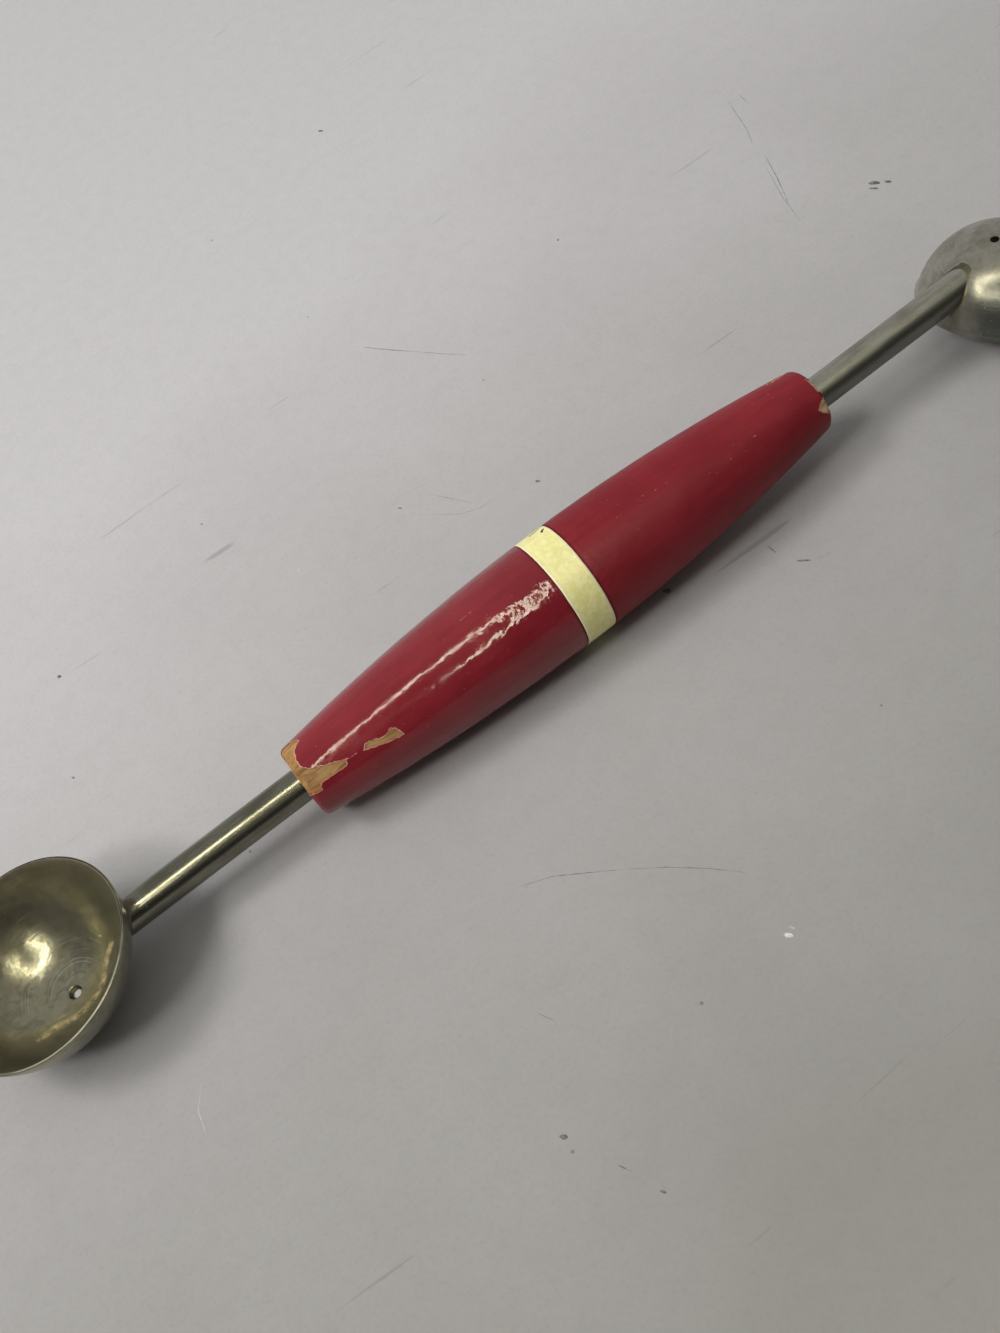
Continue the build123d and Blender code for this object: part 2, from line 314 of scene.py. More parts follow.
class HandleShape:
    """The painted handle's outline, in millimetres along and out from its axis."""

    def __init__(self, settings):
        self.half = settings.handle_length / MM / 2
        self.belly = settings.belly_diameter / MM / 2
        self.ends = {-1: settings.large_end_diameter / MM / 2, 1: settings.small_end_diameter / MM / 2}
        self.edge = settings.end_edge_radius / MM
        self.film = settings.film_thickness / MM
        self.cream_drop = settings.cream_drop / MM
        self.band = {
            side: settings.band_offset / MM + side * settings.band_width / MM / 2 for side in (-1, 1)
        }

    def arc(self, side):
        """Radius of the long arc that swells one half from its end to its middle."""
        swell = self.belly - self.ends[side]
        return (self.half**2 + swell**2) / (2 * swell)

    def sway(self, side, spoke):
        """How far the band's edge strays along the handle where it crosses this spoke."""
        return ripple(Vector((0, spoke.y, spoke.z)), 0.5, 7.0 * side) * 0.05


class Profile:
    """One half of the painted outline, from its middle to the shank's bore, by travel along it."""

    long_steps = 160
    corner_steps = 12
    end_slack = 0.02

    def __init__(self, handle, side, bore):
        arc = handle.arc(side)
        drop = handle.belly - arc
        edge_x = handle.half - handle.edge
        edge_out = drop + math.sqrt((arc - handle.edge) ** 2 - edge_x**2)
        lean = math.atan2(edge_x, edge_out - drop)
        corner = math.pi / 2 - lean
        outline = [
            self.on_arc(0, drop, arc, lean * step / self.long_steps) for step in range(self.long_steps)
        ]
        outline += [
            self.on_arc(edge_x, edge_out, handle.edge, lean + corner * step / self.corner_steps)
            for step in range(self.corner_steps + 1)
        ]
        outline.append((handle.half, bore, 1.0, 0.0))
        self.rows = []
        travel = 0.0
        last = outline[0]
        for row in outline:
            travel += math.hypot(row[0] - last[0], row[1] - last[1])
            self.rows.append((travel, side * row[0], row[1], side * row[2], row[3]))
            last = row
        self.travels = [row[0] for row in self.rows]
        self.reaches = [abs(row[1]) for row in self.rows]
        self.travel_end = travel

    @staticmethod
    def on_arc(x, out, radius, turn):
        """A point of an arc round its middle, and the normal there."""
        return x + radius * math.sin(turn), out + radius * math.cos(turn), math.sin(turn), math.cos(turn)

    def skin(self, travel, turn):
        """The painted surface at this travel and turn: its point, its normal and the spoke it is on."""
        _, along, out, normal_along, normal_out = between(self.rows, self.travels, travel)
        spoke = Vector((0, math.sin(turn), math.cos(turn)))
        normal = (Vector((normal_along, 0, 0)) + spoke * normal_out).normalized()
        return Vector((along, 0, 0)) + spoke * out, normal, spoke

    def travel_at(self, along):
        """Travel from the middle to a place along the handle, and on past the end's edge."""
        end = self.reaches[-1]
        reach = abs(along)
        if reach >= end - self.end_slack:
            return self.travels[-2] + (reach - end)
        return between(self.rows, self.reaches, reach)[0]


class ScoopShape:
    """A scoop in the tool's own frame, in millimetres: X along the handle, Z as the large one opens."""

    swell_top = 2.4
    swell_foot = 6.6

    def __init__(self, settings, handle, side, opening):
        self.side = side
        self.opening = opening
        self.rim_radius = settings.rim_diameter / MM / 2
        self.ball_radius = settings.ball_diameter / MM / 2
        self.height = self.ball_radius - settings.depth / MM
        self.axis = Vector((side * math.sin(settings.lean), 0, opening * math.cos(settings.lean)))
        self.outwards = Vector((side * math.cos(settings.lean), 0, -opening * math.sin(settings.lean)))
        self.rim_centre = Vector((
            side * (handle.half + settings.reach / MM), 0, opening * settings.offset / MM
        ))
        self.ball_centre = self.rim_centre + self.axis * self.height
        self.far_rim = self.rim_centre + self.outwards * self.rim_radius
        self.vent = self.ball_centre + Vector((-side * settings.vent_shift / MM, 0, 0))
        reach = math.sqrt(self.ball_radius**2 - self.ball_centre.z**2)
        self.weld = Vector((self.ball_centre.x - side * reach, 0, 0))
        self.bead = settings.bead / MM
        self.swell = settings.swell / MM

    def built_up(self, point):
        """How far the skin stands up here, near the brazed joint."""
        return self.swell * fade(self.swell_top, self.swell_foot, (point - self.weld).length)


class Tool:
    """Every shape that the pieces share, and the matrix that lays the tool on the table."""

    def __init__(self, scene):
        self.handle_settings = scene.handle_settings
        self.shank_settings = scene.shank_settings
        self.sheet_settings = scene.sheet_settings
        self.handle = HandleShape(self.handle_settings)
        self.shank_radius = self.shank_settings.shank_diameter / MM / 2
        self.large = ScoopShape(scene.large_scoop_settings, self.handle, -1, 1)
        self.small = ScoopShape(scene.small_scoop_settings, self.handle, 1, -1)
        step = self.small.far_rim - self.large.ball_centre
        turn = math.atan2(step.z, step.x) + math.asin(self.large.ball_radius / step.length)
        lay = Matrix.Rotation(turn, 4, "Y")
        left = lay @ self.large.far_rim
        right = lay @ self.small.far_rim
        self.rest = Matrix.Translation((-(left.x + right.x) / 2, 0, -right.z)) @ lay

    def put(self, point):
        """A point of the tool's own frame in the shared frame, in metres."""
        return (self.rest @ point) * MM


def add_values(mesh, values):
    """Give the mesh's points the numbers that its material reads."""
    for name, numbers in values.items():
        mesh.attributes.new(name, "FLOAT", "POINT").data.foreach_set("value", numbers)


def new_piece(name, points, faces, values, finish, nodes):
    """Make a smooth mesh piece that rides on the body, stands for the CAD nodes and has the finish."""
    mesh = bpy.data.meshes.new(name)
    mesh.from_pydata([tuple(point) for point in points], [], faces)
    mesh.validate()
    add_values(mesh, values)
    mesh.shade_smooth()
    mesh.set_sharp_from_angle(angle=SHARP_EDGE)
    piece = bpy.data.objects.new(name, mesh)
    bpy.context.scene.collection.objects.link(piece)
    mesh.materials.append(finish)
    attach(piece, "root")
    if nodes:
        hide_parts(*nodes)


def flipped(faces):
    """The faces turned to look the other way."""
    return [tuple(reversed(face)) for face in faces]


def close_shell(count, sheet):
    """Faces of a closed shell whose outer points come first and whose inner points follow."""
    faces = [tuple(face) for face in sheet]
    faces += [tuple(index + count for index in face) for face in flipped(sheet)]
    sides = dict.fromkeys(side for face in sheet for side in zip(face, (*face[1:], face[0])))
    return faces + [(b, a, a + count, b + count) for a, b in sides if (b, a) not in sides]


def ring_faces(around, across):
    """Faces of a closed ring whose section is a closed loop of points."""
    faces = []
    for turn in range(around):
        here, ahead = turn * across, (turn + 1) % around * across
        for step in range(across):
            beside = (step + 1) % across
            faces.append((here + step, here + beside, ahead + beside, ahead + step))
    return faces


def inside(outline, x, y):
    """Whether a point lies inside a closed outline."""
    odd = False
    last_x, last_y = outline[-1]
    for here_x, here_y in outline:
        if (here_y > y) != (last_y > y):
            if x < (last_x - here_x) * (y - here_y) / (last_y - here_y) + here_x:
                odd = not odd
        last_x, last_y = here_x, here_y
    return odd


def in_steps(corners, count):
    """Points that divide each run of an open line into count steps."""
    return [
        tuple(a + (b - a) * step / count for a, b in zip(start, end))
        for start, end in zip(corners, corners[1:])
        for step in range(count + 1)
    ]


def ragged(outline, step, roughness, seed):
    """A closed outline divided into short steps that stray a little from its straight lines."""
    points = []
    for (ax, ay), (bx, by) in zip(outline, (*outline[1:], outline[0])):
        run = math.hypot(bx - ax, by - ay)
        count = max(1, round(run / step))
        for index in range(count):
            share = index / count
            x, y = ax + (bx - ax) * share, ay + (by - ay) * share
            free = min(1.0, 4 * share * (1 - share) + 0.2)
            stray = ripple(Vector((x, y, 0)), 0.55, seed, 4) * roughness * free
            points.append((x - (by - ay) / run * stray, y + (bx - ax) / run * stray))
    return points


def gap_to(points):
    """A function that gives the distance from a flat place to the nearest of these points."""
    tree = KDTree(max(1, len(points)))
    for x, y in points:
        tree.insert((x, y, 0), 0)
    tree.balance()
    return lambda x, y: tree.find((x, y, 0))[2] if points else FAR_AWAY


def cut_sheet(grid, outlines, clearance):
    """Points and triangles of a flat sheet of grid points with closed outlines cut out of it."""
    kept, edges = [], []
    for outline in outlines:
        first, count = len(kept), len(outline)
        kept += outline
        edges += [(first + i, first + (i + 1) % count) for i in range(count)]
    gap = gap_to(list(kept))
    for x, y in grid:
        if gap(x, y) > clearance and not any(inside(o, x, y) for o in outlines):
            kept.append((x, y))
    result = delaunay_2d_cdt([Vector(point) for point in kept], edges, [], 0, 1e-9)
    points, triangles = result[0], result[2]
    faces = []
    for face in triangles:
        middle_x = sum(points[i].x for i in face) / 3
        middle_y = sum(points[i].y for i in face) / 3
        if not any(inside(o, middle_x, middle_y) for o in outlines):
            faces.append(tuple(face))
    return points, faces


def used_only(points, faces):
    """The points that some face uses, and the faces numbered for them."""
    used = sorted({index for face in faces for index in face})
    number = {index: place for place, index in enumerate(used)}
    return [points[index] for index in used], [tuple(number[i] for i in face) for face in faces]


class Nodes:
    """A node tree and short ways to add nodes to it. Its lengths are in metres, in the shared frame."""

    def __init__(self, tree):
        self.tree = tree

    def node(self, kind, sockets, output=0, **settings):
        """Add a node, set it, feed its sockets by name or number, and give back one output."""
        node = self.tree.nodes.new(kind)
        for key, value in settings.items():
            setattr(node, key, value)
        for key, value in sockets.items():
            self.feed(node.inputs[key], value)
        return node.outputs[output]

    def feed(self, socket, value):
        """Link a socket to an output, or set it to a number or a colour."""
        if isinstance(value, bpy.types.NodeSocket):
            self.tree.links.new(value, socket)
        else:
            socket.default_value = (*value, 1.0) if socket.type == "RGBA" else value

    def math(self, operation, a, b=0.0):
        return self.node("ShaderNodeMath", {0: a, 1: b}, operation=operation)

    def times(self, a, b):
        return self.math("MULTIPLY", a, b)

    def plus(self, a, b):
        return self.math("ADD", a, b)

    def mixed(self, a, share, b):
        """This share of a, and b for the rest."""
        return self.plus(self.times(a, share), self.times(b, 1 - share))

    def how_far(self, where, way):
        """How far a place lies along a way."""
        return self.node("ShaderNodeVectorMath", {0: where, 1: way}, "Value", operation="DOT_PRODUCT")


class Finish(Nodes):
    """A material in the making."""

    def __init__(self, name):
        self.material = bpy.data.materials.new(name)
        self.material.use_nodes = True
        super().__init__(self.material.node_tree)
        self.shader = next(n for n in self.tree.nodes if n.type == "BSDF_PRINCIPLED")

    @property
    def where(self):
        """Place in the shared frame."""
        return self.node("ShaderNodeTexCoord", {}, "Object")

    def along(self, axis):
        """Place along X, Y or Z of the shared frame."""
        return self.node("ShaderNodeSeparateXYZ", {0: self.where}, axis)

    def value(self, name):
        """A number that the mesh carries at each point."""
        return self.node("ShaderNodeAttribute", {}, "Fac", attribute_name=name)

    def noise(self, scale, detail=3.0, roughness=0.55, stretch=(1, 1, 1), distortion=0.0):
        """Soft unevenness with about this many lumps to the metre, which stretch draws out or not."""
        return self.node("ShaderNodeTexNoise", {
            "Vector": self.node("ShaderNodeMapping", {"Vector": self.where, "Scale": stretch}),
            "Scale": scale, "Detail": detail, "Roughness": roughness, "Distortion": distortion,
        })

    def cells(self, scale):
        """Distance from scattered points, about this many to the metre."""
        return self.node("ShaderNodeTexVoronoi", {"Vector": self.where, "Scale": scale}, "Distance")

    def span(self, value, low, high, start=0.0, end=1.0, smooth=True):
        """Turn the part of a value between low and high into start to end."""
        return self.node(
            "ShaderNodeMapRange",
            {"Value": value, "From Min": low, "From Max": high, "To Min": start, "To Max": end},
            interpolation_type="SMOOTHSTEP" if smooth else "LINEAR",
        )

    def frayed(self, name, scale, fray, low, high):
        """The part between low and high of a number that the mesh carries, its edge frayed by noise."""
        return self.span(self.plus(self.value(name), self.times(self.noise(scale), fray)), low, high)

    def blend(self, share, a, b):
        """A colour between two colours."""
        node = self.tree.nodes.new("ShaderNodeMix")
        node.data_type = "RGBA"
        self.feed(node.inputs["Factor"], share)
        self.feed(node.inputs[6], a)
        self.feed(node.inputs[7], b)
        return node.outputs[2]

    def bump(self, height, depth, strength, below=None):
        """Relief of a height between 0 and 1 that is this many metres deep."""
        sockets = {"Height": height, "Distance": depth, "Strength": strength}
        if below:
            sockets["Normal"] = below
        return self.node("ShaderNodeBump", sockets)

    def finish(self, **sockets):
        """Feed the shader's sockets, named with _ for a space, and give back the material."""
        for key, value in sockets.items():
            self.feed(self.shader.inputs[key.replace("_", " ")], value)
        return self.material


def red_enamel(settings, name, gloss, grit, shine):
    """Brushed red enamel: slow changes of depth, fine brush lines, pale edges where it broke, and painted
    shade in the groove along the band.
    """
    make = Finish(name)
    groove_shade = make.value("band_groove_shade")
    depth = make.mixed(make.noise(90.0, 4.0), 0.6, make.noise(900.0, stretch=(0.12, 1, 1)))
    skin = make.blend(make.span(depth, 0.35, 0.65), settings.red_deep, settings.red)
    chalk = make.frayed("broken", 1700.0, 0.8, 0.98, 1.22)
    skin = make.blend(chalk, skin, settings.chalk)
    specks = make.span(make.noise(2600.0, 2.0), 0.72, 0.78, 0.0, 0.45)
    skin = make.blend(specks, skin, settings.chalk)
    # Painted shade: the groove along the band is darkened, dulled and loses its shine.
    skin = make.blend(groove_shade, skin, settings.red_edge_shade)
    near_band = make.span(make.math("ABSOLUTE", make.along("X")), 5 * MM, 15 * MM, 1.0, 0.0)
    wrinkles = make.times(make.noise(520.0, 2.0, 0.5), near_band)
    peel = make.bump(make.noise(520.0, 2.0, stretch=(0.7, 1, 1)), 0.06 * MM, grit)
    peel = make.bump(wrinkles, 0.12 * MM, grit, peel)
    fine = make.bump(make.noise(1700.0, 3.0, 0.6), 0.012 * MM, grit, peel)
    rough = make.span(make.noise(400.0, 4.0), 0.3, 0.75, gloss, gloss + 0.08)
    dull = make.math("MAXIMUM", chalk, groove_shade)
    return make.finish(
        Base_Color=skin,
        Roughness=make.math("MAXIMUM", rough, make.times(dull, 0.7)),
        Normal=fine,
        IOR=1.52,
        Specular_IOR_Level=make.times(make.math("SUBTRACT", 1.0, groove_shade), shine),
    )


def cream_enamel(settings):
    """Cream enamel, mottled where it is thin, with dark specks, black strokes and a painted highlight along
    its raised edge.
    """
    make = Finish("cream_enamel")
    mottle = make.noise(1300.0, 5.0, 0.6)
    thin = make.span(make.mixed(mottle, 0.7, make.noise(700.0, stretch=(1, 0.2, 0.2))), 0.42, 0.60)
    skin = make.blend(thin, settings.cream, settings.cream_pale)
    specks = make.span(make.noise(3000.0, 2.0), 0.73, 0.77, 0.0, 0.6)
    skin = make.blend(specks, skin, settings.wood_dark)
    # Painted highlight: a pale line along the band's raised edges.
    skin = make.blend(make.times(make.value("band_rim_highlight"), 0.8), skin, settings.cream_edge_highlight)
    patchy = make.span(make.noise(2100.0), 0.3, 0.6, 0.7, 1.3)
    stroke = make.span(make.times(make.value("soiled"), patchy), 0.30, 0.55)
    return make.finish(
        Base_Color=make.blend(stroke, skin, settings.soil),
        Roughness=make.span(mottle, 0.3, 0.7, 0.28, 0.48),
        Normal=make.bump(make.noise(1100.0, 4.0), 0.04 * MM, 0.7),
        IOR=1.5,
    )


def bare_wood(settings, name, clean, pale_patch):
    """Hardwood with fine lengthwise grain, pores, and dirt at the very end of the large half."""
    make = Finish(name)
    grain = make.noise(1800.0, 5.0, 0.65, (0.09, 1, 1), 0.4)
    pores = make.noise(5200.0, 2.0, 0.5, (0.14, 1, 1))
    stain = make.noise(350.0)
    skin = make.blend(make.span(grain, 0.40, 0.66), clean, settings.wood_dark)
    skin = make.blend(make.span(stain, 0.40, 0.70), skin, pale_patch)
    skin = make.blend(make.span(pores, 0.66, 0.76, 0.0, 0.8), skin, settings.pore)
    stray = make.span(stain, 0.3, 0.7, -0.2 * MM, 0.2 * MM)
    dirty = make.span(make.math("SUBTRACT", stray, make.along("X")), 42.8 * MM, 43.4 * MM, 0.0, 0.8)
    return make.finish(
        Base_Color=make.blend(dirty, skin, settings.end_dirt),
        Roughness=make.span(grain, 0.3, 0.7, 0.52, 0.74),
        Normal=make.bump(grain, 0.04 * MM, 0.7, make.bump(pores, 0.03 * MM, 0.6)),
    )


def drawn_steel(settings, name, steel, dark, flank_shade, polish):
    """Drawn steel with lengthwise lines, rubbed patches, small pits and painted shade on its near side."""
    make = Finish(name)
    lines = make.noise(2600.0, 4.0, 0.6, (0.03, 1, 1))
    patches = make.noise(260.0, 5.0, 0.6, (0.45, 1, 1))
    pits = make.span(make.noise(1900.0), 0.66, 0.74)
    tone = make.mixed(patches, 0.7, lines)
    skin = make.blend(make.span(tone, 0.36, 0.66), steel, dark)
    across = make.plus(make.along("Y"), make.span(patches, 0.3, 0.7, -0.2 * MM, 0.2 * MM))
    # Painted shade darkens the near side of the shank.
    skin = make.blend(make.span(across, -1.9 * MM, -1.2 * MM, flank_shade, 0.0), skin, settings.flank_shade)
    rough = make.span(tone, 0.3, 0.7, polish, polish + 0.08)
    return make.finish(
        Base_Color=make.blend(make.times(pits, 0.5), skin, settings.pit),
        Metallic=1.0,
        Roughness=make.plus(rough, make.times(pits, 0.2)),
        Normal=make.bump(lines, 0.003 * MM, 0.8, make.bump(patches, 0.005 * MM, 0.5)),
    )


def scoop_metal(settings, scoop, name, polish):
    """Plated sheet: tarnish in clouds, brown towards the rim, rubbed bright along it and painted bright on
    the rim's lit side, painted shade on the rim's other side and on the near outside, grime and painted
    shade at the vent, a painted golden reflection streak inside, and turned arcs.
    """
    make = Finish(name)
    within = make.value("inside")
    share = make.value("height_share")
    clouds = make.noise(150.0, 5.0, 0.6, distortion=0.6)
    mottle = make.noise(900.0, 4.0, 0.65)
    tone = make.mixed(clouds, 0.65, mottle)
    skin = make.blend(make.span(tone, 0.38, 0.64), scoop.metal, scoop.tarnish)
    blotches = make.span(make.noise(430.0, 5.0, 0.65, distortion=1.2), 0.50, 0.62, 0.0, 0.35)
    skin = make.blend(make.times(blotches, within), skin, settings.oxide_and_shade)
    browned = make.times(make.span(share, 0.62, 0.92), make.span(make.noise(130.0), 0.35, 0.65, 0.35, 0.75))
    skin = make.blend(make.times(browned, within), skin, settings.brown)
    # Painted shade: the near side of the bowl's outside is darkened.
    across = make.plus(make.along("Y"), make.span(clouds, 0.3, 0.7, -1.0 * MM, 1.0 * MM))
    shaded = make.math("SUBTRACT", make.span(across, -6.5 * MM, -2.2 * MM, scoop.shade, 0.0), within)
    skin = make.blend(make.math("MAXIMUM", shaded, 0.0), skin, settings.oxide_and_shade)
    arcs = make.node(
        "ShaderNodeTexNoise", {"W": share, "Scale": 70.0, "Detail": 4.0, "Roughness": 0.7},
        noise_dimensions="1D",
    )
    arcs = make.times(make.span(arcs, 0.56, 0.70), make.span(make.noise(190.0), 0.48, 0.62, 0.0, 0.45))
    skin = make.blend(arcs, skin, settings.bright)
    # Rim wear together with a painted highlight, bright only on the rim's lit side.
    wear_and_rim_highlight = make.frayed("edge", 1500.0, 0.3, 0.95, 1.12)
    skin = make.blend(wear_and_rim_highlight, skin, settings.bright)
    # Painted reflection: a golden streak along the listed line inside the large bowl.
    reflection_mask = make.times(make.value("painted_reflection"), make.span(make.noise(900.0, 5.0, 0.7), 0.32, 0.66))
    skin = make.blend(reflection_mask, skin, settings.reflection_gold)
    scratches = make.span(make.noise(2200.0, 2.0, 0.5, (0.08, 1, 0.6), 1.2), 0.70, 0.74, 0.0, 0.5)
    skin = make.blend(scratches, skin, settings.bright)
    rough = make.span(tone, 0.3, 0.7, polish, polish + 0.08)
    dull = make.math("MAXIMUM", make.times(browned, 0.3), make.times(reflection_mask, 0.55))
    return make.finish(
        # Grime at the vent, together with painted shade there and under the rim's unlit side.
        Base_Color=make.blend(make.frayed("grime_and_shade", 2400.0, 0.4, 0.55, 0.95), skin, settings.grime_and_shade),
        Metallic=make.math("SUBTRACT", 0.85, dull),
        Roughness=make.math("SUBTRACT", rough, make.times(wear_and_rim_highlight, 0.08)),
        Normal=make.bump(mottle, 0.03 * MM, 0.6, make.bump(clouds, 0.2 * MM, 0.4)),
    )


def braze_metal(settings):
    """Dull brass-coloured filler, sooty in places."""
    make = Finish("braze_filler")
    blots = make.noise(700.0, 4.0, 0.6)
    return make.finish(
        Base_Color=make.blend(make.span(blots, 0.36, 0.56), settings.brass, settings.brass_dark),
        Metallic=1.0,
        Roughness=make.span(blots, 0.3, 0.7, 0.35, 0.6),
        Normal=make.bump(make.noise(2200.0, 4.0), 0.03 * MM, 0.7),
    )


def table_top(settings):
    """A painted table with painted light falloff, pale far and shaded near, with faint clouds, fine grain,
    dust and hair scratches.
    """
    make = Finish("table_top")
    # Painted light falloff across the table, from its painted shade on the near side to its pale far side.
    far = make.how_far(make.where, (-0.2, 1.0, 0.0))
    light_falloff = make.plus(far, make.span(make.noise(14.0), 0.3, 0.7, -12 * MM, 12 * MM))
    skin = make.blend(
        make.span(light_falloff, -85 * MM, 100 * MM, smooth=False), settings.shaded_near_table, settings.table
    )
    grain = make.span(make.noise(1500.0, 4.0, 0.75), 0.45, 0.75, 0.0, 0.12)
    stains = make.span(make.noise(330.0, 5.0, 0.6), 0.35, 0.75, 0.0, 0.05)
    hairs = make.times(
        make.span(make.noise(420.0, 2.0, 0.5, (0.04, 1, 1), 1.5), 0.70, 0.73),
        make.span(make.noise(45.0, 2.0), 0.5, 0.6, 0.0, 0.3),
    )
    dust = make.times(
        make.span(make.cells(120.0), 0.020, 0.035, 1.0, 0.0),
        make.span(make.noise(60.0, 1.0), 0.5, 0.56, 0.0, 0.6),
    )
    for dirt in (grain, stains, hairs, dust):
        skin = make.blend(dirt, skin, settings.mark)
    return make.finish(
        Base_Color=skin,
        Roughness=0.6,
        Normal=make.bump(make.noise(1100.0, 4.0), 0.02 * MM, 0.25),
    )


def mark_finish(settings):
    """Dirt and scratches on the table, thin in places."""
    make = Finish("table_marks")
    thin = make.span(make.noise(900.0, 4.0), 0.33, 0.62, 0.35, 1.0)
    dark = make.blend(make.span(make.noise(2500.0), 0.4, 0.7), settings.mark, settings.shaded_near_table)
    return make.finish(
        Base_Color=make.blend(make.value("pale"), dark, settings.pale_mark),
        Roughness=0.8,
        Alpha=make.times(thin, make.value("cover")),
    )


def film_piece(tool, side, node, outlines, ridges, finish, seed):
    """The red enamel on one half of the handle: a thin closed sheet, broken through at the chips. It is
    cut out flat, as if unrolled from an even rod, and then wrapped round the handle."""
    handle = tool.handle
    profile = Profile(handle, side, tool.shank_radius)
    unroll = 7.0
    half_round = unroll * math.pi
    start = profile.travel_at(handle.band[side])
    rows, columns, end_crowding = 130, 156, 0.96
    chip_step, chip_roughness, chip_clearance = 0.09, 0.16, 0.14
    curl_height, curl_reach, ridge_height, rounded_edge, sunk = 0.05, 0.45, 0.03, 0.04, 0.015
    pale_edge, sway_reach, ridge_paleness, inner_clearance = 0.16, 1.5, 0.74, 0.005

    def unrolled(line):
        """A line on the handle, in millimetres on the flat sheet."""
        return [(profile.travel_at(x), unroll * math.radians(turn)) for x, turn in line]

    grid = [
        (
            start + (profile.travel_end - start) * (row / rows) ** end_crowding,
            half_round * (2 * column / columns - 1),
        )
        for row in range(rows + 1)
        for column in range(columns + 1)
    ]
    chips = [
        ragged(unrolled(outline), chip_step, chip_roughness, seed + number)
        for number, outline in enumerate(outlines)
    ]
    points, faces = cut_sheet(grid, chips, chip_clearance)
    first = {}
    merge = list(range(len(points)))
    for index, point in enumerate(points):
        if abs(abs(point.y) - half_round) < 1e-6:
            merge[index] = first.setdefault(round(point.x, 5), index)
    points, faces = used_only(points, [tuple(merge[i] for i in face) for face in faces])
    chip_gap = gap_to([point for chip in chips for point in chip])
    ridge_gap = gap_to([point for ridge in ridges for point in unrolled(ridge)])
    outer, inner, broken, band_groove_shade = [], [], [], []
    for point in points:
        surface, normal, spoke = profile.skin(point.x, point.y / unroll)
        from_band = point.x - start
        surface.x += handle.sway(side, spoke) * fade(0.0, sway_reach, from_band)
        from_chip = chip_gap(point.x, point.y)
        near_ridge = fade(0.06, 0.22, ridge_gap(point.x, point.y))
        curl = 0.5 + 0.5 * ripple(surface, 1.3, seed + 3.0)
        lift = ripple(surface, 3.2, seed, 2) * 0.016 + ripple(surface, 1.0, seed + 5.0, 3) * 0.008
        lift += curl_height * curl * fade(0.0, curl_reach, from_chip) + ridge_height * near_ridge
        lift -= rounded_edge * fade(0.0, pale_edge, from_band) + sunk
        outer.append(tool.put(surface + normal * lift))
        inner.append(tool.put(surface - normal * (handle.film - inner_clearance)))
        broken.append(max(fade(0.0, pale_edge, from_chip), ridge_paleness * near_ridge))
        # Where the painted shade lies in the groove along the band.
        band_groove_shade.append(fade(0.05, 0.20, from_band))
    whole = [0.0] * len(inner)
    new_piece(
        node.replace("paint", "enamel"), outer + inner, close_shell(len(outer), faces),
        {"broken": broken + whole, "band_groove_shade": band_groove_shade + whole}, finish, [node],
    )


def wood_patch(tool, side, name, reach, turns, seed, finish):
    """Torn hardwood under a chip: a thin closed sheet on the core with lifted fibres and furrows, over
    this reach along the handle and these turns round it."""
    handle = tool.handle
    profile = Profile(handle, side, tool.shank_radius)
    mesh_step, end_radius = 0.09, 5.5
    bared, shallowest, deepest, foot = 0.045, 0.015, 0.15, 0.08
    crack_turn, crack_width, crack_depth = -14.0, 1.3, 0.09
    first, last = sorted(profile.travel_at(x) for x in reach)
    rows = round((last - first) / mesh_step)
    columns = round(math.radians(turns[1] - turns[0]) * end_radius / mesh_step)
    outer, inner = [], []
    for row in range(rows + 1):
        travel = first + (last - first) * row / rows
        for column in range(columns + 1):
            degrees = turns[0] + (turns[1] - turns[0]) * column / columns
            surface, normal, _ = profile.skin(travel, math.radians(degrees))
            grain = Vector((surface.x * 0.12, surface.y, surface.z))
            fibre = ripple(grain, 0.42, seed, 4) * 0.028
            torn = ripple(surface, 1.6, seed + 2.0, 3) * 0.022
            aside = (degrees - crack_turn + 3.0 * ripple(surface, 0.9, 4.0)) / crack_width
            crack = math.exp(-(aside**2)) * smooth_step(41.6, 42.6, -surface.x) * crack_depth
            depth = max(shallowest, min(deepest, handle.film - bared - fibre - torn + crack))
            outer.append(tool.put(surface - normal * depth))
            inner.append(tool.put(surface - normal * (handle.film + foot)))
    wide = columns + 1
    quads = [
        (a, a + wide, a + wide + 1, a + 1)
        for row in range(rows)
        for a in range(row * wide, row * wide + columns)
    ]
    faces = quads if side > 0 else flipped(quads)
    new_piece(name, outer + inner, close_shell(len(outer), faces), {}, finish, [])


